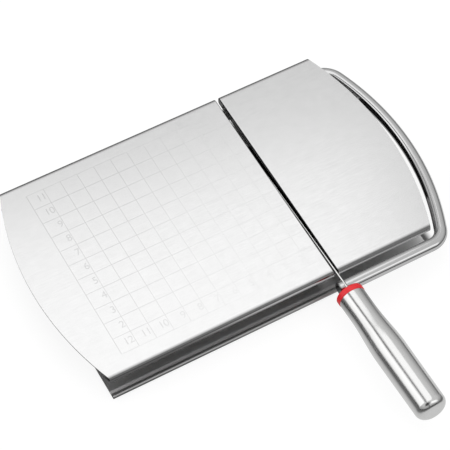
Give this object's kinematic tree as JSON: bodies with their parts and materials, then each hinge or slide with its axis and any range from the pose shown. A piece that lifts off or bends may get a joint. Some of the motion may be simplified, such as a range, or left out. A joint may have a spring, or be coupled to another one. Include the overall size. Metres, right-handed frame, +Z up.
{
  "type": "cheese slicer board",
  "caption": "Low steel board on channel rails, with a cutting wire strung on a hinged bow arm that swings down into a slot between the top plates.",
  "frame": {"origin": "middle of the whole object's box at rest, on the table under the feet", "axes": "+Z up; +Y towards the hinge at the board's back, so the handle points to -Y; +X to the right, towards the bow of the arm"},
  "size_m": [0.2242, 0.2248, 0.0291],
  "materials": {
    "plate_steel": "brushed left to right, with fine engraved lines on the left plate",
    "rail_steel": "bright rolled",
    "bracket_steel": "bright pressed",
    "bush_plastic": "smooth",
    "rod_steel": "polished",
    "clip_steel": "spring steel",
    "wire_steel": "drawn",
    "bead_steel": "crimped",
    "stud_steel": "bright",
    "ring_red": "smooth, satin gloss",
    "handle_steel": "polished along its length",
    "insert_steel": "turned",
    "foot_rubber": "matt"
  },
  "bodies": {
    "board": {"left_plate": "plate_steel", "right_plate": "plate_steel", "front_rail": "rail_steel", "rear_rail": "rail_steel", "inner_hinge_bracket": "bracket_steel", "outer_hinge_bracket": "bracket_steel", "inner_hinge_bush": "bush_plastic", "outer_hinge_bush": "bush_plastic", "front_left_foot": "foot_rubber", "front_right_foot": "foot_rubber", "rear_left_foot": "foot_rubber", "rear_right_foot": "foot_rubber"},
    "arm": {"swing_arm": "rod_steel", "retaining_clips": "clip_steel", "cutting_wire": "wire_steel", "rear_wire_bead": "bead_steel", "front_wire_bead": "bead_steel", "handle_stud": "stud_steel"},
    "ring": {"handle_ring": "ring_red"},
    "handle": {"handle_shell": "handle_steel", "handle_insert": "insert_steel"}
  },
  "joints": [
    {"name": "arm_hinge", "type": "hinge", "parent": "board", "child": "arm", "pos_m": [0.03145, 0.104, 0.011], "axis": [-1, 0, 0], "range_deg": [-3, 110]},
    {"name": "ring_travel", "type": "slide", "parent": "arm", "child": "ring", "axis": [0, -0.999, 0.0446], "range_m": [0, 0.0021]},
    {"name": "handle_turn", "type": "hinge", "parent": "ring", "child": "handle", "pos_m": [0.03145, -0.026, 0.0168], "axis": [0, -0.999, 0.0446], "range_deg": [0, 1080]}
  ],
  "couplings": [
    {"joint": "handle_turn", "follows": "ring_travel", "rad_per_m": 8975.9}
  ]
}
